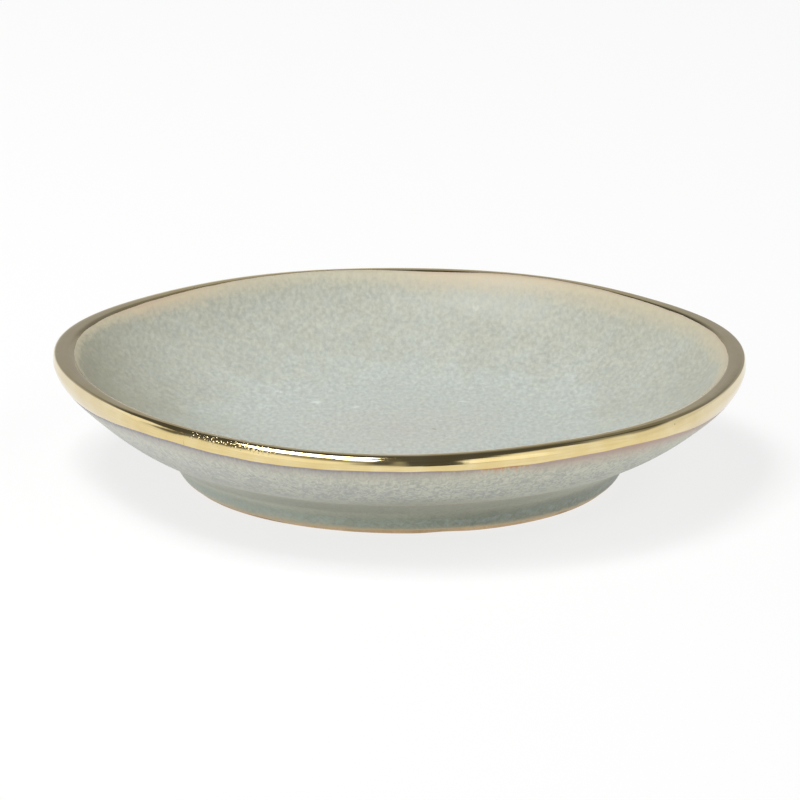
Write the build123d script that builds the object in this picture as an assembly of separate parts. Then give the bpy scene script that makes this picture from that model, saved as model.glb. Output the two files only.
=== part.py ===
from build123d import *
from math import cos, pi, radians, sin
import os

# A round glazed stoneware ring dish with a gold lip, standing on a short turned foot.
# Millimetres, +Z up. The origin is on the table, in the middle of the foot. -Y is the front.
# The dish is a clay body with coats fired on it, and each coat starts on the face that
# carries it. They all follow one profile: up the outside, over the lip and down into the
# well. The rim is a little out of round and uneven, and the foot is a true circle.

# Overall sizes, over the glaze
rim_radius = 60.0
dish_height = 21.0
foot_radius = 38.3
foot_height = 5.5

# Foot: it leans out as it rises, and is turned out hollow underneath
foot_lean = 2.4
foot_edge = 0.5
bare_band = 0.95
recess_radius = 32.5
recess_depth = 2.3
recess_round = 1.2
recess_glaze_margin = 0.8

# Clay between the outside and the well
floor_thickness = 5.2
floor_radius = 24.0
wall_thickness = 4.3

# Lip: its widest line, its crest, and the two edges of the gold
girth_drop = 1.5
lip_roll = 1.5
gold_drop = 2.5
gold_tuck = 0.15
gold_reach = 3.0
gold_inner_drop = 0.25

# Coats. Fired gold is under a micron thick, and is drawn thick enough to be a solid.
glaze_thickness = 0.45
gold_thickness = 0.15

# Outside wall from the foot to the gold, as shares of its way out and up
wall_out_shares = (0.46, 0.84)
wall_up_shares = (0.295, 0.70)
wall_start_angle = 20
wall_end_angle = 74

# Well: its slope at the gold, and where along the wall it keeps the wall's thickness
well_start_angle = 30
well_keep_shares = (0.80, 0.35)

# Unevenness of the rim: the reach of each wave that pushes it out or lifts it, and the
# number of lobes of each wave with the bearing of one lobe, from +X towards +Y
oval_push = 0.8
triangle_push = 0.4
square_push = 0.6
five_lobe_push = 0.3
six_lobe_push = 0.45
seven_lobe_push = 0.35
saddle_lift = 0.2
triangle_lift = 0.25
square_lift = 0.15
five_lobe_lift = 0.25
push_waves = (
    (2, 139, oval_push),
    (3, 32, triangle_push),
    (4, 81, square_push),
    (5, 20, five_lobe_push),
    (6, 0, six_lobe_push),
    (7, 12, seven_lobe_push),
)
lift_waves = (
    (2, 8, saddle_lift),
    (3, 27, triangle_lift),
    (4, 37, square_lift),
    (5, 16, five_lobe_lift),
)
wander_growth = 1.5

# How far a cutter starts outside what it cuts
cut_overrun = 1.0

# How finely the rings are drawn
ring_points = 36
wall_rings = 8
lip_rings = 5
well_rings = 10

crease_radius = foot_radius + foot_lean
floor_height = recess_depth + floor_thickness


def sum_of(waves, bearing):
    """How far the waves move the rim at a bearing."""
    return sum(reach * cos(lobes * (bearing - radians(lobe_bearing)))
               for lobes, lobe_bearing, reach in waves)


def wander(radius):
    """The share of the rim's unevenness at a radius: none over the foot, all at the rim."""
    out = max(0, (radius - crease_radius) / (rim_radius - crease_radius))
    return out ** wander_growth


def ring(spot):
    """The closed line that a point of the profile draws on its way round the dish."""
    share = wander(spot.X)
    points = []
    for step in range(ring_points):
        bearing = 2 * pi * step / ring_points
        radius = spot.X + share * sum_of(push_waves, bearing)
        height = spot.Y + share * sum_of(lift_waves, bearing)
        points.append((radius * cos(bearing), radius * sin(bearing), height))
    return Wire([Edge.make_spline(points, periodic=True)])


def skin(spots, ruled=False):
    """The surface that a stretch of the profile draws on its way round the dish."""
    return Shell.make_loft([ring(spot) for spot in spots], ruled).faces()


def disc(spot):
    return [Face(ring(spot))]


def closed(*skins):
    """One solid from surfaces that meet along their edges."""
    return Solid(Shell([face for faces in skins for face in faces]))


def direction(angle):
    return (cos(radians(angle)), sin(radians(angle)))


def inward(curve, share, depth):
    """The point a share of the way along the profile, a depth in from the glaze's face."""
    place = curve.position_at(share)
    along = curve.tangent_at(share)
    return Vector(place.X - along.Y * depth, place.Y + along.X * depth)


def stretch(curve, rings, depth):
    """Points along the profile, a depth in from the glaze's face: negative is outside it."""
    return [inward(curve, step / rings, depth) for step in range(rings + 1)]


def part_way(start, end, out_share, up_share):
    return Vector(start.X + (end.X - start.X) * out_share, start.Y + (end.Y - start.Y) * up_share)


# The profile over the glaze
crease = Vector(crease_radius, foot_height)
gold_line = Vector(rim_radius - gold_tuck, dish_height - gold_drop)
girth = Vector(rim_radius, dish_height - girth_drop)
crest = Vector(rim_radius - lip_roll, dish_height)
gold_inner = Vector(rim_radius - gold_reach, dish_height - gold_inner_drop)
floor_edge = Vector(floor_radius, floor_height)

wall_bends = [part_way(crease, gold_line, out_share, up_share)
              for out_share, up_share in zip(wall_out_shares, wall_up_shares)]
wall = Edge.make_spline(
    [crease, *wall_bends, gold_line],
    tangents=[direction(wall_start_angle), direction(wall_end_angle)],
)
lip_outside = Edge.make_spline(
    [gold_line, girth, crest],
    tangents=[direction(wall_end_angle), direction(180)],
)
lip_inside = Edge.make_spline(
    [crest, gold_inner],
    tangents=[direction(180), direction(180 + well_start_angle)],
)
well_bends = [inward(wall, share, wall_thickness) for share in well_keep_shares]
well = Edge.make_spline(
    [gold_inner, *well_bends, floor_edge],
    tangents=[direction(180 + well_start_angle), direction(180)],
)

# The same stretches on the clay, under the glaze
clay_wall = stretch(wall, wall_rings, glaze_thickness)
clay_lip_outside = stretch(lip_outside, lip_rings, glaze_thickness)
clay_lip_inside = stretch(lip_inside, lip_rings, glaze_thickness)
clay_well = stretch(well, well_rings, glaze_thickness)

# The foot's flank on the clay, from the table to the crease
bare_radius = foot_radius - glaze_thickness
toe = Vector(bare_radius - foot_edge, 0)
heel = Vector(bare_radius, foot_edge)
clay_crease = clay_wall[0]
bare_share = (bare_band - heel.Y) / (clay_crease.Y - heel.Y)
glaze_stop = part_way(heel, clay_crease, bare_share, bare_share)
glaze_stop_face = Vector(glaze_stop.X + glaze_thickness, glaze_stop.Y)


def make_stoneware_body():
    """Fired clay: foot, wall, lip and floor in one piece, hollow under the foot."""
    blank = closed(
        disc(toe),
        skin([toe, heel], ruled=True),
        skin([heel, glaze_stop], ruled=True),
        skin([glaze_stop, clay_crease], ruled=True),
        skin(clay_wall),
        skin(clay_lip_outside),
        skin(clay_lip_inside),
        skin(clay_well),
        disc(clay_well[-1]),
    )
    recess = Pos(0, 0, recess_depth) * Cylinder(
        recess_radius, recess_depth + cut_overrun,
        align=(Align.CENTER, Align.CENTER, Align.MAX))
    recess = fillet(recess.edges().sort_by(Axis.Z)[-1], recess_round)
    return blank - recess


def make_outer_glaze():
    """The coat from just over the table, up the foot and the wall, to the lip's crest."""
    face_wall = stretch(wall, wall_rings, 0)
    face_lip = stretch(lip_outside, lip_rings, 0)
    return closed(
        skin([glaze_stop, clay_crease], ruled=True),
        skin(clay_wall),
        skin(clay_lip_outside),
        skin([clay_lip_outside[-1], face_lip[-1]], ruled=True),
        skin(face_lip),
        skin(face_wall),
        skin([glaze_stop_face, face_wall[0]], ruled=True),
        skin([glaze_stop, glaze_stop_face], ruled=True),
    )


def make_inner_glaze():
    """The coat from the lip's crest down over the whole of the well."""
    face_lip = stretch(lip_inside, lip_rings, 0)
    face_well = stretch(well, well_rings, 0)
    return closed(
        skin([clay_lip_inside[0], face_lip[0]], ruled=True),
        skin(clay_lip_inside),
        skin(clay_well),
        disc(clay_well[-1]),
        skin(face_lip),
        skin(face_well),
        disc(face_well[-1]),
    )


def make_foot_recess_glaze():
    """The round patch of glaze under the floor, wiped clean round its edge."""
    radius = recess_radius - recess_round - recess_glaze_margin
    return Pos(0, 0, recess_depth) * Cylinder(
        radius, glaze_thickness, align=(Align.CENTER, Align.CENTER, Align.MAX))


def make_gold_rim_band():
    """The gold over the glaze, from the outside of the lip to just inside it."""
    under = [stretch(lip_outside, lip_rings, 0), stretch(lip_inside, lip_rings, 0)]
    over = [stretch(lip_outside, lip_rings, -gold_thickness),
            stretch(lip_inside, lip_rings, -gold_thickness)]
    return closed(
        skin([under[0][0], over[0][0]], ruled=True),
        skin(under[0]),
        skin(under[1]),
        skin(over[0]),
        skin(over[1]),
        skin([under[1][-1], over[1][-1]], ruled=True),
    )


pieces = {
    "stoneware_body": make_stoneware_body(),
    "outer_glaze": make_outer_glaze(),
    "inner_glaze": make_inner_glaze(),
    "foot_recess_glaze": make_foot_recess_glaze(),
    "gold_rim_band": make_gold_rim_band(),
}

os.makedirs("parts", exist_ok=True)
for name, piece in pieces.items():
    export_step(piece, f"parts/{name}.step")
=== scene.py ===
from functools import partial
from math import cos, pi, radians, sin

import bpy
import numpy as np
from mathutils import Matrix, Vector


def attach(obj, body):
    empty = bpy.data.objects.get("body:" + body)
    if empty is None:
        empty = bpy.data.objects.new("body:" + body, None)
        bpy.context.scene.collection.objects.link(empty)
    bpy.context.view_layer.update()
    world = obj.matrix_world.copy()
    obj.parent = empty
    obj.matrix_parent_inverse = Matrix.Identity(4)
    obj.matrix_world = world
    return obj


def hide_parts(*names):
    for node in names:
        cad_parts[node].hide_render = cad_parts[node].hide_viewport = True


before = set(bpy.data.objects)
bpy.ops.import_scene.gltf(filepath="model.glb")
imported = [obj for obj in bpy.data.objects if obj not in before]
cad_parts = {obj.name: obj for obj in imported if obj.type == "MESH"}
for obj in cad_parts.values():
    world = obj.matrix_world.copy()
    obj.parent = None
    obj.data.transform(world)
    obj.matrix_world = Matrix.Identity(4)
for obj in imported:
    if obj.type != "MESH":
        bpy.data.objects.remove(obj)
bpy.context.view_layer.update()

# A thrown stoneware ring dish: clay, two glazes that meet under a gold lip, and a glazed
# patch under the foot. Lengths are in millimetres until a mesh is drawn. +Z is up and
# -Y is the front. Each piece is drawn as an outline, as a potter's template is, and spun
# round the dish's axis. Its rim is then pushed out of round as the CAD's is.

mm = 0.001

# The template, over the glaze
rim_radius = 60.0
dish_height = 21.0
foot_radius = 38.3
foot_height = 5.5
foot_lean = 2.4
foot_edge = 0.5
foot_inner_round = 0.4
crease_radius = foot_radius + foot_lean
recess_radius = 32.5
recess_depth = 2.3
recess_round = 1.2
recess_glaze_margin = 0.8
recess_glaze_round = 0.9
floor_radius = 24.0
floor_height = 7.5
wall_thickness = 4.3
glaze_thickness = 0.45
bare_band = 0.95
wall_shares = ((0.46, 0.295), (0.84, 0.70))
wall_start_angle = 20
wall_end_angle = 74
well_keep_shares = (0.80, 0.35)
well_start_angle = 210
girth_drop = 1.5
lip_roll = 1.5
gold_drop = 2.5
gold_tuck = 0.15
gold_reach = 3.0
gold_inner_drop = 0.25

# Waves of the rim: lobes, the bearing of one lobe, and how far it moves
push_waves = ((2, 139, 0.8), (3, 32, 0.4), (4, 81, 0.6), (5, 20, 0.3), (6, 0, 0.45), (7, 12, 0.35))
lift_waves = ((2, 8, 0.2), (3, 27, 0.25), (4, 37, 0.15), (5, 16, 0.25))
wander_growth = 1.5

# The lip's outer shoulder is round in front, and squarer at the sides and behind. The foot was
# trimmed by hand: it is a little out of round and fuller at the sides, with one low nick in its
# edge. Glaze fills the crease over it, from the flank to some way up the wall.
shoulder_power = 3.2
shoulder_round = 42
shoulder_square = 72
foot_waves = ((1, -35, 0.1), (2, -38, 0.2), (3, -38, 0.34))
foot_cove = 0.4
trim_width = 4
nick_bearing = 282
nick_spread = 5
nick_height = 1.5
nick_lift = 0.18
bead_share = 0.25
crease_fill = 6.5
crease_push = 0.6

# Uneven edges of the coats. The gold was brushed on, and hangs lower at the sides. Inside the
# lip it stops short behind, but for one swell, and reaches further at the left: the bearing, the
# spread and the reach of each. The dipped glaze crept down over the foot's bare band in runs.
gold_side_drop = 2.1
gold_edge_waves = ((8, 245, 0.2), (31, 3, 0.03), (53, 0, 0.02))
gold_swells = ((86, 34, -1.55), (84, 12, 1.45), (182, 13, 0.6))
run_length = 0.27
run_fade = 1.6
run_waves = ((2, 228, 0.08), (4, 228, 0.18), (17, 5, 0.04), (29, 0, 0.03))

# The second dip reached this far over the crease. The poured glaze carries painted shade towards
# one bearing, and the gold is cracked at one and worn at another.
dip_height = 7.5
painted_shade_bearing = 212
crack_bearing = 231.2
worn_bearing = 240


def direction(angle):
    return np.array((cos(radians(angle)), sin(radians(angle))))


def smooth_line(knots, start_angle, end_angle, steps=400):
    """A fine smooth line through knots, with the angle it leaves at and the one it ends at."""
    knots = np.array(knots, float)
    runs = np.linalg.norm(np.diff(knots, axis=0), axis=1)
    balance = np.eye(len(knots))
    wanted = np.zeros((len(knots), 2))
    wanted[0] = direction(start_angle)
    wanted[-1] = direction(end_angle)
    for k in range(1, len(knots) - 1):
        before, after = runs[k - 1], runs[k]
        balance[k, k - 1:k + 2] = (after, 2 * (before + after), before)
        wanted[k] = 3 * (after / before * (knots[k] - knots[k - 1])
                         + before / after * (knots[k + 1] - knots[k]))
    slopes = np.linalg.solve(balance, wanted)
    line = [knots[:1]]
    for k, run in enumerate(runs):
        t = np.linspace(0, 1, steps)[1:, None]
        line.append((2 * t**3 - 3 * t**2 + 1) * knots[k] + (t**3 - 2 * t**2 + t) * run * slopes[k]
                    + (3 * t**2 - 2 * t**3) * knots[k + 1] + (t**3 - t**2) * run * slopes[k + 1])
    return np.vstack(line)


def lengths_of(line):
    """How far along a line each of its points is."""
    return np.concatenate([[0], np.cumsum(np.linalg.norm(np.diff(line, axis=0), axis=1))])


def at(line, reach, depth=0.0):
    """Points of a line by their distance along it, a depth in from the glaze's face."""
    reach = np.asarray(reach, float)
    depth = depth * np.ones_like(reach)
    along = lengths_of(line)
    place = np.stack([np.interp(reach, along, line[:, k]) for k in (0, 1)], -1)
    slope = np.gradient(line, along, axis=0)
    slope = np.stack([np.interp(reach, along, slope[:, k]) for k in (0, 1)], -1)
    slope /= np.linalg.norm(slope, axis=-1, keepdims=True)
    inward = np.stack([-slope[..., 1], slope[..., 0]], -1)
    return place + inward * depth[..., None]


def stretch(line, steps, depth=0.0):
    return at(line, np.linspace(0, lengths_of(line)[-1], steps + 1), depth)


def bend(start, corner, end, steps):
    """A corner rounded off between two points."""
    t = np.linspace(0, 1, steps + 1)[:, None]
    return (1 - t)**2 * np.array(start) + 2 * t * (1 - t) * np.array(corner) + t**2 * np.array(end)


def straight(start, end, steps):
    t = np.linspace(0, 1, steps + 1)[:, None]
    return (1 - t) * np.array(start) + t * np.array(end)


def joined(*stretches):
    """One outline from stretches that each start where the last one ends."""
    outline = [stretches[0]]
    for piece in stretches[1:]:
        near = np.linalg.norm(piece[0] - outline[-1][-1]) < 0.003
        outline.append(piece[1:] if near else piece)
    return np.vstack(outline)


crease = np.array((crease_radius, foot_height))
gold_line = np.array((rim_radius - gold_tuck, dish_height - gold_drop))
girth = np.array((rim_radius, dish_height - girth_drop))
crest = np.array((rim_radius - lip_roll, dish_height))
gold_inner = np.array((rim_radius - gold_reach, dish_height - gold_inner_drop))
floor_edge = np.array((floor_radius, floor_height))

wall_bends = [crease + (gold_line - crease) * share for share in wall_shares]
wall = smooth_line([crease, *wall_bends, gold_line], wall_start_angle, wall_end_angle)
wall_length = lengths_of(wall)[-1]
lip_outside = smooth_line([gold_line, girth, crest], wall_end_angle, 180)
lip_inside = smooth_line([crest, gold_inner], 180, well_start_angle)
lip = joined(lip_outside, lip_inside)
lip_length = lengths_of(lip)[-1]
well_bends = [at(wall, share * wall_length, wall_thickness) for share in well_keep_shares]
well = smooth_line([gold_inner, *well_bends, floor_edge], well_start_angle, 180)

clay_crease = at(wall, 0, glaze_thickness)
clay_heel = np.array((foot_radius - glaze_thickness, foot_edge))
clay_toe = np.array((foot_radius - glaze_thickness - foot_edge, 0))
bare_share = (bare_band - clay_heel[1]) / (clay_crease[1] - clay_heel[1])
glaze_stop = clay_heel + (clay_crease - clay_heel) * bare_share
stop_face = glaze_stop + (glaze_thickness, 0)
flank = straight(stop_face - (crease - stop_face) * 0.2, crease, 40)
face = joined(flank, wall, lip_outside, lip_inside, well)

# The dipped glaze's own face, with the crease filled by glaze
bead_top = stop_face + (crease - stop_face) * bead_share
below_fill = straight(flank[0], bead_top, 20)
fill = bend(bead_top, crease + (crease_push, 0), at(wall, crease_fill), 24)
above_fill = at(wall, np.linspace(crease_fill, wall_length, 80))
filled_face = joined(below_fill, fill, above_fill, lip_outside, lip_inside, well)


def wave_sum(waves, bearing):
    return sum(reach * np.cos(lobes * (bearing - radians(lobe))) for lobes, lobe, reach in waves)


def read_points(piece):
    flat = np.empty(len(piece.data.vertices) * 3)
    piece.data.vertices.foreach_get("co", flat)
    return flat.reshape(-1, 3)


def write_points(piece, points):
    piece.data.vertices.foreach_set("co", points.ravel())
    piece.data.update()


def turned_back(points):
    """The points in the template's plane, and their bearings."""
    flat = np.stack([np.hypot(points[:, 0], points[:, 1]), points[:, 2]], -1) / mm
    return flat, np.arctan2(points[:, 1], points[:, 0])


def turned_out(flat, bearing):
    """The points in space again, from the template's plane."""
    out, up = flat.T
    return np.stack([out * np.cos(bearing), out * np.sin(bearing), up], -1) * mm


def degrees_from(angle, bearing):
    return np.degrees(bearing - radians(angle) + pi) % 360 - 180


def square_shoulder(flat, bearing):
    """Fills out the lip's round shoulder at the sides and behind."""
    off = flat - (crest[0], girth[1])
    around = np.arctan2(*np.clip(off, 0.001, None).T[::-1])
    aside = np.abs(degrees_from(270, bearing)) - shoulder_round
    aside = np.clip(aside / (shoulder_square - shoulder_round), 0, 1)
    power = 2 + shoulder_power * aside**2 * (3 - 2 * aside)
    fuller = (np.cos(around)**power + np.sin(around)**power)**(-1 / power)
    return flat + off * np.where(off.min(axis=1) > 0, fuller - 1, 0)[:, None]


def trim_foot(flat, bearing):
    """Pushes the foot's flank out of round, fuller at the sides, and lifts the nick in its
    edge. The foot's inner edge stays as it is."""
    edge = np.clip((flat[:, 0] - recess_radius - foot_edge) / trim_width, 0, 1)
    height = np.clip(flat[:, 1] / foot_height, 0, 1)
    out = edge * (1 - height) * wave_sum(foot_waves, bearing)
    out += edge * foot_cove * np.cos(bearing)**4 * np.sin(pi * height)
    nick = np.exp(-(degrees_from(nick_bearing, bearing) / nick_spread)**2)
    lift = edge * np.clip(1 - flat[:, 1] / nick_height, 0, 1) * nick_lift * nick
    return flat + np.stack([out, lift], -1)


def push_rim(piece):
    """Pushes the upper dish out of round and lifts its rim in waves, with its uneven shoulder
    and foot."""
    flat, bearing = turned_back(read_points(piece))
    flat = trim_foot(square_shoulder(flat, bearing), bearing)
    share = np.clip((flat[:, 0] - crease_radius) / (rim_radius - crease_radius), 0, None)
    share = share**wander_growth
    flat[:, 0] += share * wave_sum(push_waves, bearing)
    flat[:, 1] += share * wave_sum(lift_waves, bearing)
    write_points(piece, turned_out(flat, bearing))


def place_on(line, flat):
    """How far along a line the nearest place to each point is, and how far inside it the
    point is."""
    rows, row_of = np.unique(flat.round(3), axis=0, return_inverse=True)
    along = lengths_of(line)
    nearest = np.argmin(((rows[:, None] - line[None])**2).sum(-1), axis=1)
    slope = np.gradient(line, along, axis=0)[nearest]
    slope /= np.linalg.norm(slope, axis=1, keepdims=True)
    off = rows - line[nearest]
    reach = along[nearest] + (off * slope).sum(1)
    depth = off[:, 1] * slope[:, 0] - off[:, 0] * slope[:, 1]
    row_of = row_of.ravel()
    return reach[row_of], depth[row_of]


def up_the_template(flat):
    """How far over the crease each point is along the template, with the fill evened out."""
    low = lengths_of(below_fill)[-1]
    high = low + lengths_of(fill)[-1]
    reach, _ = place_on(filled_face, flat)
    crease_at = lengths_of(flank)[-1]
    return np.interp(reach, (0, low, high, high + 100),
                     (-crease_at, low - crease_at, crease_fill, crease_fill + 100))


def gold_hem(bearing):
    """How far the gold hangs below its line on the outside."""
    side = ((1 + np.cos(2 * bearing)) / 2)**3
    return gold_side_drop * side + wave_sum(gold_edge_waves, bearing)


def gold_short(bearing):
    """How far the gold stops short of its line inside the lip."""
    swells = sum(reach * np.exp(-(degrees_from(angle, bearing) / spread)**2)
                 for angle, spread, reach in gold_swells)
    return wave_sum(gold_edge_waves[1:], bearing) - swells


def write_mark(piece, name, values):
    """Keeps a number, or a place, on each point of a piece for its finish to follow."""
    kind, key = ("FLOAT", "value") if values.ndim == 1 else ("FLOAT_VECTOR", "vector")
    mark = piece.data.attributes.new(name, kind, "POINT")
    mark.data.foreach_set(key, values.astype(np.float32).ravel())


def mark_coat(piece):
    """Marks each point with its place in mm: round the dish and up the template, out from the
    axis, under the gold outside and in from the gold inside."""
    flat, bearing = turned_back(read_points(piece))
    reach = up_the_template(flat)
    write_mark(piece, "round_and_up", np.stack(
        [rim_radius * np.cos(bearing), rim_radius * np.sin(bearing), reach], -1))
    write_mark(piece, "up", reach)
    write_mark(piece, "out", flat[:, 0])
    write_mark(piece, "under_gold", wall_length - gold_hem(bearing) - reach)
    write_mark(piece, "inside_gold", reach - wall_length - lip_length + gold_short(bearing))


def mark_flush(dipped, poured):
    """Marks how warm the colour next to the gold is and how far it reaches, by bearing: outside
    it goes from violet to rust, and inside from a grey of painted shade through cream to peach."""
    for piece, name, stops in (
            (dipped, "flush_warmth", (
                (0, 0.3), (60, 0.1), (110, 0.6), (150, 0.2), (205, 0.05), (262, 0.15), (280, 0.35),
                (283, 0.5), (284, 1.0), (290.5, 1.0), (292, 0.55), (312, 0.7), (340, 0.5))),
            (dipped, "flush_reach", (
                (0, 0.8), (60, 1.6), (110, 1.3), (150, 1.4), (205, 1.1), (262, 1.0), (281, 0.9),
                (283.5, 0.55), (290.5, 0.55), (293, 1.7), (312, 2.3), (340, 1.5))),
            (poured, "cream_warmth", (
                (0, 0.3), (25, 0.3), (45, 0.32), (62, 0.5), (80, 0.55), (92, 0.25), (104, 0.1),
                (120, 0.3), (143, 0.6), (155, 0.3), (172, 0.1), (200, 0.1), (216, 0.0),
                (252, 0.0), (262, 0.03), (272, 0.06), (290, 0.15), (340, 0.25))),
            (poured, "cream_reach", (
                (0, 3.6), (25, 5.6), (45, 6.6), (62, 6.8), (76, 6.6), (90, 6.0), (105, 5.4),
                (120, 5.0), (143, 4.2), (158, 2.8), (172, 1.6), (200, 1.3), (216, 4.0),
                (262, 4.5), (285, 2.4), (330, 2.6)))):
        points = read_points(piece)
        bearing = np.degrees(np.arctan2(points[:, 1], points[:, 0])) % 360
        write_mark(piece, name, np.interp(bearing, *zip(*stops), period=360))


def spin_piece(name, outline, columns, closed=False):
    """Draws an outline as a chain of points and turns it once round the dish's axis."""
    bpy.ops.object.select_all(action="DESELECT")
    bpy.ops.mesh.primitive_plane_add(size=mm, calc_uvs=False, location=(0, 0, 0))
    piece = bpy.context.object
    piece.name = piece.data.name = name
    bpy.ops.object.mode_set(mode="EDIT")
    bpy.ops.mesh.merge(type="CENTER")
    outline = np.vstack([outline, outline[:1]]) if closed else outline
    bpy.ops.transform.translate(value=(outline[0][0] * mm, 0, outline[0][1] * mm))
    for step in np.diff(outline, axis=0) * mm:
        bpy.ops.mesh.extrude_region_move(TRANSFORM_OT_translate={"value": (step[0], 0, step[1])})
    bpy.ops.object.mode_set(mode="OBJECT")
    turn = piece.modifiers.new("turn", "SCREW")
    turn.angle = 2 * pi
    turn.steps = turn.render_steps = columns
    bpy.ops.object.modifier_apply(modifier=turn.name)
    bpy.ops.object.mode_set(mode="EDIT")
    bpy.ops.mesh.select_all(action="SELECT")
    bpy.ops.mesh.remove_doubles(threshold=0.002 * mm)
    bpy.ops.mesh.normals_make_consistent(inside=False)
    bpy.ops.object.mode_set(mode="OBJECT")
    bpy.ops.object.shade_smooth_by_angle(angle=radians(40))
    return piece


def let_run(piece):
    """Lets the glaze's lower edge creep down the foot, further at some bearings."""
    flat, bearing = turned_back(read_points(piece))
    reach, _ = place_on(face, flat)
    share = np.clip(1 - (reach - reach.min()) / run_fade, 0, 1)**1.5
    down = share * (run_length + wave_sum(run_waves, bearing))
    lean = (crease - stop_face) / np.linalg.norm(crease - stop_face)
    write_points(piece, turned_out(flat - lean * down[:, None], bearing))


def lay_gold(piece):
    """Slides the gold along the template, out to its own uneven edges."""
    flat, bearing = turned_back(read_points(piece))
    reach, depth = place_on(lip, flat)
    low, high = -gold_hem(bearing), lip_length - gold_short(bearing)
    reach = lengths_of(flank)[-1] + wall_length + low + reach / lip_length * (high - low)
    write_points(piece, turned_out(at(face, reach, depth), bearing))


# ---- pieces

def make_stoneware_dish():
    """The clay: from the hollow under the foot, up the outside, and down into the well."""
    inner_edge = np.array((recess_radius, 0))
    hollow_corner = np.array((recess_radius, recess_depth))
    outline = joined(
        straight((0, recess_depth), hollow_corner - (recess_round, 0), 24),
        bend(hollow_corner - (recess_round, 0), hollow_corner,
             hollow_corner - (0, recess_round), 6),
        bend(inner_edge + (0, foot_inner_round), inner_edge,
             inner_edge + (foot_inner_round, 0), 5),
        straight(inner_edge + (foot_inner_round, 0), clay_toe - (0.1, 0), 12),
        bend(clay_toe - (0.1, 0), clay_toe, clay_heel, 5),
        straight(clay_heel, clay_crease, 10),
        stretch(wall, 30, glaze_thickness),
        stretch(lip_outside, 16, glaze_thickness),
        stretch(lip_inside, 10, glaze_thickness),
        stretch(well, 30, glaze_thickness),
        straight(at(well, lengths_of(well)[-1], glaze_thickness),
                 (0, floor_height - glaze_thickness), 12),
    )
    return spin_piece("stoneware_dish", outline, 320)


def make_dipped_glaze():
    """The outer coat, from a line just over the table to the crest of the lip."""
    outline = joined(
        bend(glaze_stop, stop_face + (0.06, -0.05), bead_top, 8),
        fill,
        above_fill,
        stretch(lip_outside, 16),
        stretch(lip_outside, 12, glaze_thickness)[::-1],
        stretch(wall, 24, glaze_thickness)[::-1],
        straight(clay_crease, glaze_stop, 5),
    )
    return spin_piece("dipped_outer_glaze", outline[:-1], 480, closed=True)


def make_poured_glaze():
    """The inner coat, from the crest of the lip to the middle of the floor."""
    rim_to_floor = joined(stretch(lip_inside, 10), stretch(well, 70))
    under = joined(stretch(lip_inside, 8, glaze_thickness), stretch(well, 24, glaze_thickness))
    outline = joined(
        straight((0, floor_height), floor_edge, 30),
        rim_to_floor[::-1],
        under,
        straight(under[-1], (0, floor_height - glaze_thickness), 8),
    )
    return spin_piece("poured_inner_glaze", outline, 480)


def make_recess_patch():
    """The glaze in the hollow under the foot, with a soft lower edge."""
    radius = recess_radius - recess_round - recess_glaze_margin
    low = recess_depth - glaze_thickness
    outline = joined(
        straight((0, low), (radius - recess_glaze_round, low), 24),
        bend((radius - recess_glaze_round, low), (radius, low), (radius, recess_depth), 8),
        straight((radius, recess_depth), (0, recess_depth), 10),
    )
    return spin_piece("recess_glaze_patch", outline, 240)


def make_gold_lip():
    """The gold. The real coat is under 0.001 mm, and this is drawn 0.02 mm thick, with
    bevelled edges."""
    bevel = np.array((0, 0.05, 0.1, 0.15))
    middle = np.linspace(0.22, lip_length - 0.22, 61)
    reach = np.concatenate([bevel, middle, lip_length - bevel[::-1]])
    rise = 0.02 * np.clip(np.minimum(reach, lip_length - reach) / bevel[-1], 0, 1)
    outline = joined(at(lip, reach, -rise), at(lip, np.linspace(lip_length, 0, 33)))
    return spin_piece("fired_gold_lip", outline, 720, closed=True)


# ---- finishes

def linear(text):
    """The linear colour of an sRGB hex value."""
    parts = [int(text[k:k + 2], 16) / 255 for k in (1, 3, 5)]
    return (*[p / 12.92 if p <= 0.04045 else ((p + 0.055) / 1.055)**2.4 for p in parts], 1.0)


# Settings that many nodes share. A Map Range's inputs are a value, where it starts and ends, and
# what it gives there.
soft = {"interpolation_type": "SMOOTHSTEP"}
times = {"operation": "MULTIPLY"}
times_plus = {"operation": "MULTIPLY_ADD"}
over = {"data_type": "RGBA"}
stain = {"data_type": "RGBA", "blend_type": "MULTIPLY"}


def add_node(tree, kind, settings=None, inputs=(), stops=()):
    """Adds a node with its settings, its inputs as values or links, by name or in their order,
    and a ramp's stops."""
    node = tree.nodes.new(kind)
    for name, value in (settings or {}).items():
        setattr(node, name, value)
    for key, value in inputs.items() if isinstance(inputs, dict) else enumerate(inputs):
        socket = node.inputs[key]
        if isinstance(key, str):
            socket = next(s for s in node.inputs if s.enabled and s.name == key)
        if isinstance(value, bpy.types.Node):
            value = next(s for s in value.outputs if s.enabled)
        if isinstance(value, bpy.types.NodeSocket):
            tree.links.new(value, socket)
        else:
            socket.default_value = value
    for k, (position, colour) in enumerate(stops):
        stop = node.color_ramp.elements[k] if k < 2 else node.color_ramp.elements.new(position)
        stop.position = position
        stop.color = linear(colour)
    return node


def place_on_rim(angle, reach):
    """A place in the space of round_and_up, from its bearing and how far up the template it is."""
    return (*(rim_radius * direction(angle)), reach)


def new_finish(name):
    """A new material, and the call that adds a node to it."""
    material = bpy.data.materials.new(name)
    material.use_nodes = True
    material.node_tree.nodes.clear()
    return material, partial(add_node, material.node_tree)


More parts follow.
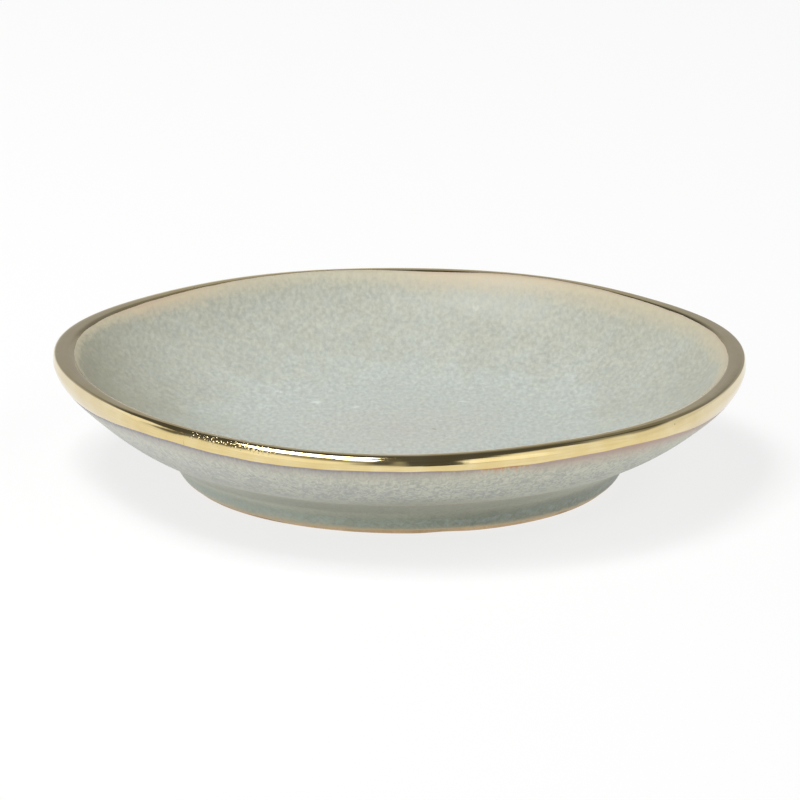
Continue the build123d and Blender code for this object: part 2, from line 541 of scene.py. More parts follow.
def stoneware_finish():
    """Iron-bearing stoneware, turned and fired bare. Matt, warm tan, with a sandy grain, faint
    rings from the turning tool and darker toasted patches."""
    material, add = new_finish("bare_fired_stoneware")
    place = add("ShaderNodeTexCoord").outputs["Object"]
    in_mm = add("ShaderNodeMapping", inputs={"Vector": place, "Scale": (1000, 1000, 1000)})
    # Grog is 0.1 to 0.3 mm, and is drawn at 0.4 mm to show
    grog = add("ShaderNodeTexNoise", inputs={
        "Vector": in_mm, "Scale": 1 / 0.4, "Detail": 3.0, "Roughness": 0.6})
    toast = add("ShaderNodeTexNoise", inputs={"Vector": in_mm, "Scale": 1 / 9, "Detail": 2.0})
    clay = add("ShaderNodeValToRGB", inputs={"Fac": toast}, stops=[
        (0.35, "#c4ab86"), (0.52, "#b89c76"), (0.68, "#a28560")])
    grain = add("ShaderNodeMapRange", inputs=(grog, 0.3, 0.7, 0.88, 1.1))
    sandy = add("ShaderNodeHueSaturation", inputs={"Color": clay, "Value": grain})
    # Turning rings 0.9 mm apart
    rings = add("ShaderNodeTexWave", {"wave_type": "RINGS", "rings_direction": "Z"}, {
        "Vector": in_mm, "Scale": 0.314 / 0.9, "Distortion": 0.6, "Detail": 1.0})
    relief = add("ShaderNodeMath", times_plus, (grog, 0.7, rings))
    bump = add("ShaderNodeBump", inputs={"Height": relief, "Strength": 0.5, "Distance": 0.03 * mm})
    shader = add("ShaderNodeBsdfPrincipled", inputs={
        "Base Color": sandy, "Roughness": 0.88, "Normal": bump})
    add("ShaderNodeOutputMaterial", inputs={"Surface": shader})
    return material


def dipped_glaze_finish():
    """Reactive glaze, dipped and fired satin. Pale crystals float in a greyer glass: it is
    mottled and veined on the wall, runs in fine hairs under the lip, flushes violet to rust
    where it meets the gold, and pools teal on the foot below the dip line. The foot is darker,
    partly from the glaze and partly from painted shade, and carries painted light, lighter on
    the left and darker on the right; a painted shadow lies over the crease in front."""
    material, add = new_finish("dipped_reactive_glaze")
    place = add("ShaderNodeTexCoord").outputs["Object"]
    in_mm = add("ShaderNodeMapping", inputs={"Vector": place, "Scale": (1000, 1000, 1000)})
    round_dish = add("ShaderNodeAttribute", {"attribute_name": "round_and_up"}).outputs["Vector"]
    up, under_gold, warmth, flush_reach = (
        add("ShaderNodeAttribute", {"attribute_name": name}).outputs["Fac"]
        for name in ("up", "under_gold", "flush_warmth", "flush_reach"))

    # Colour up the template, from 6 mm under the crease to 26 mm over it, a little uneven. It is
    # darker on the foot, partly the glaze's own colour and partly painted shade under the
    # overhanging wall
    low, high = -6.0, 26.0
    half_drift = 0.8
    drift = add("ShaderNodeTexNoise", inputs={"Vector": in_mm, "Scale": 1 / 7, "Detail": 2.0})
    uneven = add("ShaderNodeMath", times_plus, (drift, 2 * half_drift, up))
    along = add("ShaderNodeMapRange", inputs=(uneven, low + half_drift, high + half_drift))
    coat = add("ShaderNodeValToRGB", inputs={"Fac": along}, stops=[
        ((height - low) / (high - low), colour) for height, colour in (
            (-5.6, "#a29880"), (-4.4, "#8f9385"), (-3.4, "#858b7f"), (-2.2, "#838a7c"),
            (-1.0, "#8d9182"), (0.6, "#989a8b"), (3.0, "#9b9d8f"), (4.8, "#9da092"),
            (7.0, "#a2a495"), (8.4, "#a4a698"), (13.0, "#acaea2"), (17.0, "#b6b7ac"),
            (20.5, "#bdbdb0"), (23.0, "#c0bdaf"), (26.0, "#bdb8aa"))])

    # One side of the dish is greyer, the other more olive. On the foot this carries painted light:
    # lighter on the left and darker on the right
    across = add("ShaderNodeSeparateXYZ", inputs=(in_mm,))
    leaning = add("ShaderNodeMath", times_plus, (drift, 30.0, across.outputs["X"]))
    side = add("ShaderNodeMapRange", soft, (leaning, -32.0, 50.0))
    cast = add("ShaderNodeValToRGB", inputs={"Fac": side}, stops=[
        (0.0, "#ffffff"), (0.45, "#f6f6f3"), (1.0, "#fafaf2")])
    wall_cast = add("ShaderNodeMix", stain, {"Factor": 1.0, "A": coat, "B": cast})
    # Painted light on the foot: brighter to the left, darker to the right
    painted_foot_light = add("ShaderNodeMapRange", soft, (leaning, 3.0, 45.0, 1.36, 0.8))
    foot_lit_and_shaded = add("ShaderNodeHueSaturation", inputs={"Color": wall_cast, "Value": painted_foot_light})
    on_foot = add("ShaderNodeMapRange", soft, (up, -0.6, 1.2, 1.0, 0.0))
    tinted = add("ShaderNodeMix", over, {"Factor": on_foot, "A": wall_cast, "B": foot_lit_and_shaded})

    # Crystals about 0.7 mm across, with thin blue-grey veins of glass between them
    crystal = add("ShaderNodeTexNoise", inputs={
        "Vector": in_mm, "Scale": 1 / 0.7, "Detail": 2.0, "Roughness": 0.6, "Distortion": 0.4})
    veins = add("ShaderNodeTexNoise", inputs={
        "Vector": in_mm, "Scale": 1 / 1.7, "Detail": 1.5, "Roughness": 0.5, "Distortion": 1.2})
    off_middle = add("ShaderNodeMath", {"operation": "SUBTRACT"}, (veins, 0.5))
    apart = add("ShaderNodeMath", {"operation": "ABSOLUTE"}, (off_middle,))
    vein = add("ShaderNodeMapRange", inputs=(apart, 0.0, 0.085, 1.0, 0.0))
    mottled_wall = add("ShaderNodeValToRGB", inputs={"Fac": along}, stops=[
        ((height - low) / (high - low), colour) for height, colour in (
            (low, "#b8b8b8"), (-0.8, "#b0b0b0"), (6.0, "#8c8c8c"), (8.5, "#a8a8a8"),
            (12.0, "#ffffff"), (19.0, "#f0f0f0"), (22.5, "#a0a0a0"))])
    vein_share = add("ShaderNodeMath", times, (vein, mottled_wall))
    vein_side = add("ShaderNodeMapRange", inputs=(side, 0.0, 1.0, 0.76, 1.1))
    vein_part = add("ShaderNodeMath", times, (vein_share, vein_side))
    veined = add("ShaderNodeMix", stain, {"Factor": vein_part, "A": tinted, "B": linear("#cdd1dc")})
    pale = add("ShaderNodeMapRange", inputs=(crystal, 0.36, 0.66, -1.0, 1.0))
    pale_share = add("ShaderNodeMath", times, (pale, mottled_wall))
    pale_value = add("ShaderNodeMath", times_plus, (pale_share, 0.13, 1.04))
    crystals = add("ShaderNodeHueSaturation", inputs={"Color": veined, "Value": pale_value})

    # Runs: fine hairs 0.35 mm wide and 3 mm long, strongest under the gold
    strands = add("ShaderNodeMapping", inputs={
        "Vector": round_dish, "Scale": (1 / 0.35, 1 / 0.35, 1 / 3.0)})
    hair = add("ShaderNodeTexNoise", inputs={
        "Vector": strands, "Scale": 1.0, "Detail": 2.0, "Roughness": 0.55})
    hair_fade = add("ShaderNodeMapRange", soft, (under_gold, 1.0, 13.0, 0.42, 0.1))
    hair_middle = add("ShaderNodeMath", {"operation": "SUBTRACT"}, (hair, 0.5))
    hair_share = add("ShaderNodeMath", times, (hair_middle, hair_fade))
    hair_value = add("ShaderNodeMath", {"operation": "ADD"}, (hair_share, 1.0))
    combed = add("ShaderNodeHueSaturation", inputs={"Color": crystals, "Value": hair_value})

    # The line of the second dip: thin and tan, with a greyer coat below it
    waver = add("ShaderNodeTexNoise", inputs={"Vector": in_mm, "Scale": 1 / 14, "Detail": 3.0})
    line_height = add("ShaderNodeMath", times_plus, (waver, 1.0, up))
    over_line = add("ShaderNodeMath", {"operation": "SUBTRACT"}, (line_height, dip_height + 0.5))
    below = add("ShaderNodeMapRange", soft, (over_line, -0.15, 0.2, 1.0, 0.0))
    in_front = add("ShaderNodeMapRange", soft, (across.outputs["Y"], -42.0, -33.0, 1.0, 0.3))
    grey_part = add("ShaderNodeMath", times, (below, in_front))
    greyed = add("ShaderNodeMix", stain, {"Factor": grey_part, "A": combed, "B": linear("#e2e2dc")})
    off_line = add("ShaderNodeMath", {"operation": "ABSOLUTE"}, (over_line,))
    dip_line = add("ShaderNodeMapRange", soft, (off_line, 0.25, 1.2, 0.5, 0.0))
    lined = add("ShaderNodeMix", over, {"Factor": dip_line, "A": greyed, "B": linear("#8e8672")})

    # Painted shadow: a soft darker patch, about 30 mm wide, over the dip line in front, where the
    # wall above the crease lies in shade
    crease_shade_place = add("ShaderNodeMapping", {"vector_type": "TEXTURE"}, {
        "Vector": in_mm, "Location": (3.0, -49.3, 9.3), "Scale": (17.0, 12.0, 2.2)})
    crease_shade_away = add("ShaderNodeVectorMath", {"operation": "LENGTH"}, (
        crease_shade_place,)).outputs["Value"]
    painted_crease_shade = add("ShaderNodeMapRange", soft, (crease_shade_away, 0.1, 1.3, 1.0, 0.0))
    crease_shaded = add("ShaderNodeMix", stain, {"Factor": painted_crease_shade, "A": lined, "B": linear("#e6e4dd")})

    # Teal flecks 0.95 mm across on the foot
    pools = add("ShaderNodeTexNoise", inputs={
        "Vector": in_mm, "Scale": 1 / 0.95, "Detail": 2.0, "Distortion": 0.2})
    pool_spots = add("ShaderNodeMapRange", inputs=(pools, 0.44, 0.76))
    pool_zone = add("ShaderNodeMapRange", soft, (up, -4.7, -4.0))
    pool_top = add("ShaderNodeMapRange", soft, (up, -3.0, -1.2, 0.42, 0.0))
    pool_band = add("ShaderNodeMath", times, (pool_zone, pool_top))
    pool_share = add("ShaderNodeMath", times, (pool_spots, pool_band))
    pooled = add("ShaderNodeMix", over, {"Factor": pool_share, "A": crease_shaded, "B": linear("#98a8a6")})

    # The clay shows through where the glaze thins out at its lower edge
    thin_and_sheen = add("ShaderNodeMath", times_plus, (pools, 1.0, up))
    thinning = add("ShaderNodeMapRange", soft, (thin_and_sheen, -4.5, -3.9, 0.75, 0.0))
    thinned_and_sheened = add("ShaderNodeMix", over, {"Factor": thinning, "A": pooled, "B": linear("#ab9a78")})

    # The flush under the gold: a soft glow combed into hairs, then a thin strong line
    flush_colour = add("ShaderNodeValToRGB", inputs={"Fac": warmth}, stops=[
        (0.0, "#858290"), (0.35, "#95847f"), (0.65, "#ad9188"), (1.0, "#b57544")])
    glow_edge = add("ShaderNodeMath", times_plus, (hair_middle, -4.0, under_gold))
    glow_part = add("ShaderNodeMath", {"operation": "DIVIDE"}, (glow_edge, flush_reach))
    glow = add("ShaderNodeMapRange", soft, (glow_part, 0.2, 2.2, 0.38, 0.0))
    glowing = add("ShaderNodeMix", over, {"Factor": glow, "A": thinned_and_sheened, "B": flush_colour})
    frayed = add("ShaderNodeMath", times_plus, (hair_middle, -1.0, under_gold))
    flush_part = add("ShaderNodeMath", {"operation": "DIVIDE"}, (frayed, flush_reach))
    flush = add("ShaderNodeMapRange", soft, (flush_part, 0.0, 0.8, 0.8, 0.0))
    flushed = add("ShaderNodeMix", over, {"Factor": flush, "A": glowing, "B": flush_colour})

    gloss = add("ShaderNodeMapRange", inputs=(crystal, 0.35, 0.65, 0.36, 0.5))
    relief = add("ShaderNodeMath", times_plus, (crystal, 0.5, hair_share))
    step = add("ShaderNodeMath", times_plus, (dip_line, 0.8, relief))
    bump = add("ShaderNodeBump", inputs={"Height": step, "Strength": 0.5, "Distance": 0.03 * mm})
    shader = add("ShaderNodeBsdfPrincipled", inputs={
        "Base Color": flushed, "Roughness": gloss, "Normal": bump, "IOR": 1.5})
    add("ShaderNodeOutputMaterial", inputs={"Surface": shader})
    return material


def poured_glaze_finish():
    """The same reactive glaze, poured into the well and fired satin. It pools pale and bluish
    in the middle, turns greyer on the slope, with painted shade on the slope at the front left
    and in a grey band just inside the gold in front, turns cream to peach where it thins at
    the gold, and is crowded with soft pale crystals and painted glints of light."""
    material, add = new_finish("poured_reactive_glaze")
    place = add("ShaderNodeTexCoord").outputs["Object"]
    in_mm = add("ShaderNodeMapping", inputs={"Vector": place, "Scale": (1000, 1000, 1000)})
    out, inside_gold, warmth, cream_reach = (
        add("ShaderNodeAttribute", {"attribute_name": name}).outputs["Fac"]
        for name in ("out", "inside_gold", "cream_warmth", "cream_reach"))

    # Crystals 0.75 mm across, drawn out 1.8 times in the direction that the glaze was swirled
    swirled = add("ShaderNodeMapping", inputs={"Vector": place, "Scale": (1000, 550, 800)})
    crystal = add("ShaderNodeTexNoise", inputs={
        "Vector": swirled, "Scale": 1 / 0.75, "Detail": 2.0, "Roughness": 0.6, "Distortion": 0.25})
    cloud = add("ShaderNodeTexNoise", inputs={
        "Vector": in_mm, "Scale": 1 / 11, "Detail": 3.0, "Roughness": 0.55})

    # Colour out from the middle, with an uneven shore
    wander = add("ShaderNodeMath", times_plus, (cloud, 26.0, out))
    ragged = add("ShaderNodeMath", times_plus, (crystal, 5.0, wander))
    ring = add("ShaderNodeMapRange", inputs=(ragged, 15.5, 75.5))
    pool = add("ShaderNodeValToRGB", inputs={"Fac": ring}, stops=[
        (0.0, "#bdbfb8"), (0.2, "#bdc1ba"), (0.4, "#bdc3bd"), (0.56, "#bdc3bc"), (0.66, "#b9bdb4"),
        (0.78, "#b5b8ad"), (0.9, "#b0b2a6"), (1.0, "#b2b3a6")])

    # Painted shade: darker and greyer on the slope at the front left
    flat_way = add("ShaderNodeVectorMath", {"operation": "DOT_PRODUCT"}, (
        in_mm, (*direction(painted_shade_bearing), 0))).outputs["Value"]
    painted_shade_side = add("ShaderNodeMapRange", soft, (flat_way, 12.0, 53.0))
    shaded = add("ShaderNodeMix", stain, {"Factor": painted_shade_side, "A": pool, "B": linear("#dbd7cc")})

    # Light and dark of the crystals
    pale = add("ShaderNodeMapRange", inputs=(crystal, 0.3, 0.7, 0.87, 1.16))
    crystals = add("ShaderNodeHueSaturation", inputs={"Color": shaded, "Value": pale})
    olive = add("ShaderNodeTexNoise", inputs={"Vector": in_mm, "Scale": 1 / 2.6, "Detail": 2.0})
    cast = add("ShaderNodeValToRGB", inputs={"Fac": olive}, stops=[
        (0.3, "#fbfdff"), (0.5, "#fefefd"), (0.7, "#fffefa")])
    tinted = add("ShaderNodeMix", stain, {"Factor": 1.0, "A": crystals, "B": cast})

    # Cream at the gold, and in front a grey band behind it that is painted shade on the slope under
    # the lip, both broken up by the crystals, with a pinker line right at the edge
    broken = add("ShaderNodeMath", times_plus, (crystal, -2.6, inside_gold))
    clouded = add("ShaderNodeMath", times_plus, (cloud, -2.0, broken))
    level = add("ShaderNodeMath", {"operation": "ADD"}, (clouded, 2.3))
    cream_share = add("ShaderNodeMath", {"operation": "DIVIDE"}, (level, cream_reach))
    cream = add("ShaderNodeMapRange", soft, (cream_share, 0.0, 1.0, 1.0, 0.0))
    cream_strength = add("ShaderNodeMapRange", inputs=(warmth, 0.1, 0.5, 0.55, 0.9))
    cream_and_shade_part = add("ShaderNodeMath", times, (cream, cream_strength))
    # The first stop, dark grey, is painted shade; the others are the cream and peach of the glaze
    cream_and_shade_colour = add("ShaderNodeValToRGB", inputs={"Fac": warmth}, stops=[
        (0.0, "#828278"), (0.1, "#c5bc9e"), (0.5, "#c9ba9c"), (1.0, "#c3a586")])
    creamed_and_shaded = add("ShaderNodeMix", over, {"Factor": cream_and_shade_part, "A": tinted, "B": cream_and_shade_colour})
    edge = add("ShaderNodeMapRange", soft, (inside_gold, 0.1, 0.9, 0.75, 0.0))
    edge_part = add("ShaderNodeMath", times, (edge, warmth))
    edged = add("ShaderNodeMix", over, {"Factor": edge_part, "A": creamed_and_shaded, "B": linear("#b49a8c")})

    # Painted highlights: white glints of light on the glaze, up to 1.8 mm long; and one short dark
    # kiln mark
    glinted = edged
    for spot, size, strength in (
            ((-22, 22, floor_height), 1.0, 0.4), ((-15, 17, floor_height), 1.3, 0.6),
            ((-8, 14, floor_height), 0.8, 0.5), ((11, 17.5, floor_height), 0.7, 0.4),
            ((14, 50, 15), 1.0, 0.45), ((-36, 31, 15), 0.9, 0.5)):
        away = add("ShaderNodeVectorMath", {"operation": "DISTANCE"}, (
            in_mm, spot)).outputs["Value"]
        fuzzy = add("ShaderNodeMath", times_plus, (crystal, -1.2, away))
        painted_glint = add("ShaderNodeMapRange", soft, (fuzzy, -0.6, size * 0.6, strength, 0.0))
        glinted = add("ShaderNodeMix", over, {
            "Factor": painted_glint, "A": glinted, "B": linear("#e9eeea")})
    mark_place = add("ShaderNodeMapping", {"vector_type": "TEXTURE"}, {
        "Vector": in_mm, "Location": (6.0, 0.5, floor_height), "Rotation": (0, 0, radians(-50)),
        "Scale": (0.7, 0.16, 1.0)})
    mark_away = add("ShaderNodeVectorMath", {"operation": "LENGTH"}, (mark_place,)).outputs["Value"]
    mark = add("ShaderNodeMapRange", inputs=(mark_away, 0.5, 1.1, 0.7, 0.0))
    marked = add("ShaderNodeMix", over, {"Factor": mark, "A": glinted, "B": linear("#6b6c64")})

    gloss = add("ShaderNodeMapRange", inputs=(crystal, 0.35, 0.65, 0.46, 0.58))
    bump = add("ShaderNodeBump", inputs={
        "Height": crystal, "Strength": 0.35, "Distance": 0.02 * mm})
    shader = add("ShaderNodeBsdfPrincipled", inputs={
        "Base Color": marked, "Roughness": gloss, "Normal": bump, "IOR": 1.5})
    add("ShaderNodeOutputMaterial", inputs={"Surface": shader})
    return material


def recess_glaze_finish():
    """Glaze brushed thickly into the foot's hollow: glossier, pooled grey-green, with pale
    clouds and a few pinholes."""
    material, add = new_finish("brushed_recess_glaze")
    place = add("ShaderNodeTexCoord").outputs["Object"]
    in_mm = add("ShaderNodeMapping", inputs={"Vector": place, "Scale": (1000, 1000, 1000)})
    cloud = add("ShaderNodeTexNoise", inputs={
        "Vector": in_mm, "Scale": 1 / 8, "Detail": 4.0, "Distortion": 0.8})
    crystal = add("ShaderNodeTexNoise", inputs={"Vector": in_mm, "Scale": 1 / 0.9, "Detail": 1.5})
    both = add("ShaderNodeMath", times_plus, (crystal, 0.35, cloud))
    pool = add("ShaderNodeValToRGB", inputs={"Fac": both}, stops=[
        (0.5, "#8d9488"), (0.68, "#a3a89c"), (0.85, "#b5b7aa")])
    # Pinholes 0.4 mm across, a few in each square centimetre
    holes = add("ShaderNodeTexVoronoi", inputs={"Vector": in_mm, "Scale": 1 / 4.5})
    hole = add("ShaderNodeMapRange", inputs=(holes.outputs["Distance"], 0.03, 0.055, 0.7, 0.0))
    holed = add("ShaderNodeMix", over, {"Factor": hole, "A": pool, "B": linear("#6f6a5a")})
    height = add("ShaderNodeMath", {"operation": "SUBTRACT"}, (both, hole))
    bump = add("ShaderNodeBump", inputs={"Height": height, "Strength": 0.5, "Distance": 0.04 * mm})
    gloss = add("ShaderNodeMapRange", inputs=(cloud, 0.0, 1.0, 0.22, 0.38))
    shader = add("ShaderNodeBsdfPrincipled", inputs={
        "Base Color": holed, "Roughness": gloss, "Normal": bump, "IOR": 1.5})
    add("ShaderNodeOutputMaterial", inputs={"Surface": shader})
    return material


def gold_lustre_finish():
    """Bright gold lustre, brushed on the glazed lip and fired: a mirror-bright skin of real
    metal. It carries faint brush strokes round the lip, dust pinholes and a scuffed patch."""
    material, add = new_finish("fired_gold_lustre")
    place = add("ShaderNodeTexCoord").outputs["Object"]
    in_mm = add("ShaderNodeMapping", inputs={"Vector": place, "Scale": (1000, 1000, 1000)})
    round_dish = add("ShaderNodeAttribute", {"attribute_name": "round_and_up"}).outputs["Vector"]

    # Brush strokes 9 mm long round the lip and 0.25 mm wide
    strokes = add("ShaderNodeMapping", inputs={
        "Vector": round_dish, "Scale": (1 / 9, 1 / 9, 1 / 0.25)})
    brush = add("ShaderNodeTexNoise", inputs={
        "Vector": strokes, "Scale": 1.0, "Detail": 3.0, "Roughness": 0.6})
    blotch = add("ShaderNodeTexNoise", inputs={"Vector": in_mm, "Scale": 1 / 5, "Detail": 2.0})
    both = add("ShaderNodeMath", times_plus, (brush, 0.6, blotch))
    gold = add("ShaderNodeValToRGB", inputs={"Fac": both}, stops=[
        (0.55, "#dfc88c"), (0.8, "#e5d098"), (1.05, "#ead8a6")])

    # Painted reflection: paler and whiter towards the left and right sides, where gold seen at a
    # grazing angle reflects white
    side = add("ShaderNodeSeparateXYZ", inputs=(in_mm,)).outputs["X"]
    aside = add("ShaderNodeMath", {"operation": "ABSOLUTE"}, (side,))
    thin_and_sheen = add("ShaderNodeMapRange", soft, (aside, 38.0, 60.0, 0.0, 0.55))
    thinned_and_sheened = add("ShaderNodeMix", over, {"Factor": thin_and_sheen, "A": gold, "B": linear("#d6cdb6")})

    # Dust pinholes 0.2 mm across
    dust = add("ShaderNodeTexVoronoi", inputs={"Vector": in_mm, "Scale": 1 / 1.1})
    worn_away = add("ShaderNodeVectorMath", {"operation": "DISTANCE"}, (
        round_dish, place_on_rim(worn_bearing, wall_length + 2.6))).outputs["Value"]
    worn = add("ShaderNodeMapRange", soft, (worn_away, 6.0, 12.0, 1.0, 0.0))
    pick = add("ShaderNodeSeparateColor", inputs=(dust.outputs["Color"],)).outputs["Red"]
    picked = add("ShaderNodeMath", {"operation": "GREATER_THAN"}, (pick, 0.975))
    hole = add("ShaderNodeMapRange", inputs=(dust.outputs["Distance"], 0.06, 0.14, 1.0, 0.0))
    pinhole = add("ShaderNodeMath", times, (hole, picked))

    # Dust caught under the lustre in the worn patch: pimples 0.25 mm across that catch the light
    dents = add("ShaderNodeTexVoronoi", inputs={"Vector": in_mm, "Scale": 1 / 0.36})
    dent_pick = add("ShaderNodeSeparateColor", inputs=(dents.outputs["Color"],)).outputs["Green"]
    dented = add("ShaderNodeMath", {"operation": "GREATER_THAN"}, (dent_pick, 0.2))
    dent = add("ShaderNodeMapRange", inputs=(dents.outputs["Distance"], 0.0, 0.34, 1.0, 0.0))
    dent_share = add("ShaderNodeMath", times, (dent, dented))
    dent_here = add("ShaderNodeMath", times, (dent_share, worn))
    ripple = add("ShaderNodeTexNoise", inputs={"Vector": in_mm, "Scale": 1 / 2.2, "Detail": 1.0})
    strokes_up = add("ShaderNodeMath", times_plus, (brush, 0.06, ripple))
    with_dents = add("ShaderNodeMath", times_plus, (dent_here, 3.2, strokes_up))
    height = add("ShaderNodeMath", times_plus, (pinhole, -1.0, with_dents))
    bump = add("ShaderNodeBump", inputs={"Height": height, "Strength": 0.6, "Distance": 0.02 * mm})

    # A crack in the lustre, 0.1 mm wide, straight down its face
    crack_place = add("ShaderNodeMapping", {"vector_type": "TEXTURE"}, {
        "Vector": round_dish, "Location": place_on_rim(crack_bearing, wall_length - 0.2),
        "Scale": (0.07, 0.07, 1.3)})
    crack_away = add("ShaderNodeVectorMath", {"operation": "LENGTH"}, (
        crack_place,)).outputs["Value"]
    crack = add("ShaderNodeMapRange", inputs=(crack_away, 0.6, 1.0, 0.5, 0.0))
    spoilt = add("ShaderNodeMath", {"operation": "MAXIMUM"}, (pinhole, crack))
    darkened = add("ShaderNodeMix", over, {"Factor": spoilt, "A": thinned_and_sheened, "B": linear("#8a6b3e")})
    gloss = add("ShaderNodeMapRange", inputs=(brush, 0.3, 0.7, 0.04, 0.09))
    shader = add("ShaderNodeBsdfPrincipled", inputs={
        "Base Color": darkened, "Metallic": 1.0, "Roughness": gloss, "Normal": bump})
    add("ShaderNodeOutputMaterial", inputs={"Surface": shader})
    return material


def dress(piece, finish, slot, *nodes):
    """Gives a piece its finish, and says which CAD nodes it stands for."""
    piece.data.materials.clear()
    piece.data.materials.append(finish)
    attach(piece, "root")
    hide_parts(*nodes)


# ---- studio

def make_camera():
    """A long lens at the photograph's angle, looking down 16.7 degrees from 1.48 m away."""
    pitch = 16.702
    distance = 1475.7
    target = Vector((-0.053, 0, 13.006)) * mm
    data = bpy.data.cameras.new("camera")
    data.sensor_width = 36
    data.lens = 375.83
    data.clip_start = 0.05
    data.clip_end = 30
    camera = bpy.data.objects.new("camera", data)
    bpy.context.scene.collection.objects.link(camera)
    back = Vector((0, -cos(radians(pitch)), sin(radians(pitch))))
    camera.location = target + back * distance * mm
    camera.rotation_euler = (radians(90 - pitch), 0, 0)
    bpy.context.scene.camera = camera


def make_softboxes():
    """Two lamps over the table that face straight down, each with a face of even brightness."""
    turn, radiance = -17, 10.35
    for name, place, size in (("overhead_softbox", (-0.34, -0.08, 1.0), (0.46, 0.52)),
                              ("front_softbox", (-0.185, -0.42, 1.0), (0.17, 0.2))):
        data = bpy.data.lights.new(name, "AREA")
        data.shape = "RECTANGLE"
        data.size, data.size_y = size
        data.energy = radiance * pi * size[0] * size[1]
        lamp = bpy.data.objects.new(name, data)
        bpy.context.scene.collection.objects.link(lamp)
        lamp.location = place
        lamp.rotation_euler.z = radians(turn)
        lamp.visible_camera = False


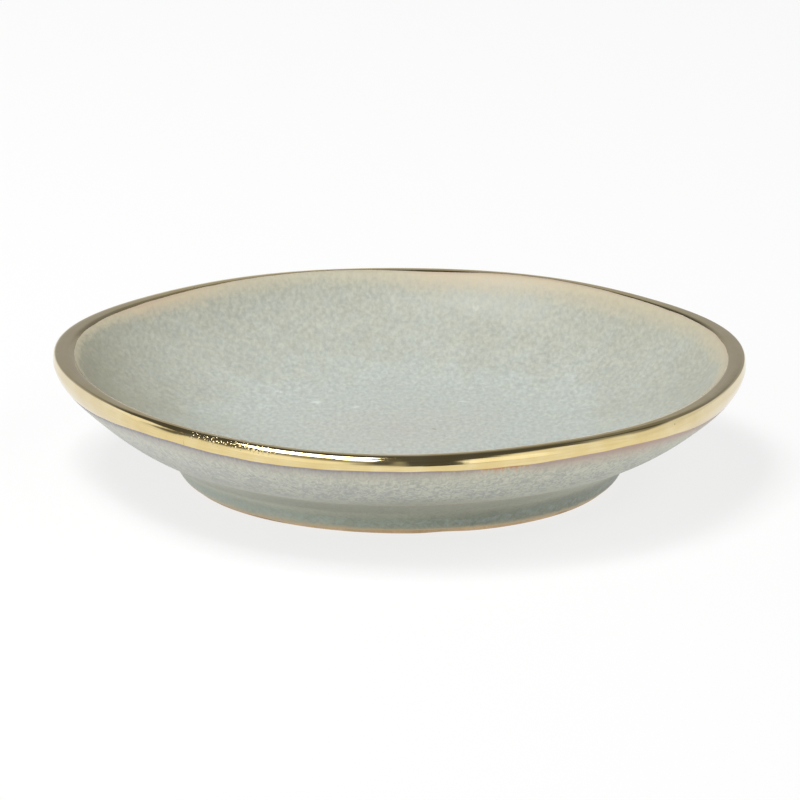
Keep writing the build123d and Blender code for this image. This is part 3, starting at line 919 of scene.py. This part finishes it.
def make_world():
    """The room: grey walls that darken upwards, with pale cards on both sides of the table."""
    world = bpy.data.worlds.new("studio")
    bpy.context.scene.world = world
    world.use_nodes = True
    world.node_tree.nodes.clear()
    add = partial(add_node, world.node_tree)
    way = add("ShaderNodeTexCoord").outputs["Generated"]
    parts = add("ShaderNodeSeparateXYZ", inputs=(way,))
    front = add("ShaderNodeMath", times, (parts.outputs["Y"], -1.0))
    bearing = add("ShaderNodeMath", {"operation": "ARCTAN2"}, (parts.outputs["X"], front))
    elevation = add("ShaderNodeMath", {"operation": "ARCSINE"}, (parts.outputs["Z"],))
    low_wall = add("ShaderNodeMapRange", soft, (elevation, 0.0, radians(11), 1.0, 0.4))
    high_wall = add("ShaderNodeMapRange", soft, (elevation, radians(22), radians(35), 1.0, 0.22))
    room = add("ShaderNodeMath", times, (low_wall, high_wall))
    # Each card's bearings and their blur, its elevations and their blur, and its brightness.
    # The first lie furthest back. 0 is the camera's side, and + is to its right.
    cards = (
        (-175, -126, 8, -12, 11, 5, 0.72),
        (140, 178, 6, 24, 54, 6, 0.22),
        (146, 179, 4, -3, 14, 6, 0.4),
        (-106, -13, 3, 14, 95, 3, 0.16),
        (-126, -105, 4, -12, 36, 3, 1.1),
        (-105, -86, 4, -12, 17, 8, 0.93),
        (-90, -52, 4, -12, 31, 10, 0.97),
        (-56, -13, 5, 30, 62, 5, 0.36),
        (-62, -16, 9, -12, 40, 9, 1.15),
        (-26, 0, 6, -12, 14, 8, 0.98),
        (-26, -13, 2, 53, 66, 4, 1.2),
        (96, 138, 8, -12, 36, 6, 0.85),
        (100, 122, 8, 37, 60, 6, 0.34),
        (80, 104, 8, -12, 51, 9, 0.9),
        (44, 84, 6, -12, 60, 6, 0.97),
        (12, 34, 7, -9, 20, 10, 0.42),
        (34, 50, 5, -5, 44, 8, 1.24),
        (21.5, 40, 2.5, 6, 43, 7, 1.28),
        (26, 50, 3, 40, 51, 4, 1.15),
        (-10, 3, 3, 27, 95, 9, 0.12),
        (2, 9, 2, 9, 95, 7, 0.09),
        (8, 20.5, 1.5, 0, 95, 4, 0.09),
        (-2.5, 2, 1.2, 26, 60, 8, 0.34),
    )
    for left, right, side_blur, low, high, rise_blur, brightness in cards:
        inside = 1.0
        for value, edge, blur in ((bearing, left, side_blur), (bearing, right, -side_blur),
                                  (elevation, low, rise_blur), (elevation, high, -rise_blur)):
            within = add("ShaderNodeMapRange", soft, (
                value, radians(edge - blur), radians(edge + blur)))
            inside = add("ShaderNodeMath", times, (inside, within))
        room = add("ShaderNodeMix", {"data_type": "FLOAT"}, {
            "Factor": inside, "A": room, "B": brightness})
    lit = add("ShaderNodeBackground", inputs={"Color": (1, 1, 1, 1), "Strength": room})
    white = add("ShaderNodeBackground", inputs={"Color": (1, 1, 1, 1), "Strength": 1.0})
    # The lens sees the room white, and so do metal and glass near the table
    path = add("ShaderNodeLightPath").outputs
    mirrored = add("ShaderNodeMath", {"operation": "ADD"}, (
        path["Is Glossy Ray"], path["Is Transmission Ray"]))
    horizon = add("ShaderNodeMapRange", soft, (elevation, 0.0, radians(3), 1.0, 0.0))
    mirrored_low = add("ShaderNodeMath", times, (mirrored, horizon))
    seen = add("ShaderNodeMath", {"operation": "MAXIMUM"}, (path["Is Camera Ray"], mirrored_low))
    both = add("ShaderNodeMixShader", inputs=(seen, lit, white))
    add("ShaderNodeOutputWorld", inputs={"Surface": both})


def make_floor():
    """A matt white table. Most of its white is its own, so the dish's shadow on it is light."""
    bpy.ops.object.select_all(action="DESELECT")
    bpy.ops.mesh.primitive_plane_add(size=12, location=(0, 0, 0))
    floor = bpy.context.object
    floor.name = "table"
    floor.location.z = -0.02 * mm
    material, add = new_finish("white_table")
    lit = add("ShaderNodeBsdfDiffuse", inputs={"Color": (0.9, 0.9, 0.9, 1)})
    glow = add("ShaderNodeEmission", inputs={"Color": (1, 1, 1, 1), "Strength": 1.0})
    both = add("ShaderNodeMixShader", inputs=(0.75, lit, glow))
    add("ShaderNodeOutputMaterial", inputs={"Surface": both})
    floor.data.materials.append(material)


make_camera()
make_world()
make_floor()
make_softboxes()

dish = make_stoneware_dish()
dipped = make_dipped_glaze()
poured = make_poured_glaze()
patch = make_recess_patch()
gold = make_gold_lip()
let_run(dipped)
lay_gold(gold)
for piece in (dipped, poured, gold):
    mark_coat(piece)
mark_flush(dipped, poured)
for piece in (dish, dipped, poured, gold):
    push_rim(piece)
dress(dish, stoneware_finish(), "bare_stoneware", "stoneware_body")
dress(dipped, dipped_glaze_finish(), "outer_glaze", "outer_glaze")
dress(poured, poured_glaze_finish(), "inner_glaze", "inner_glaze")
dress(patch, recess_glaze_finish(), "recess_glaze", "foot_recess_glaze")
dress(gold, gold_lustre_finish(), "gold_lustre", "gold_rim_band")

bpy.context.scene.view_settings.view_transform = "Standard"
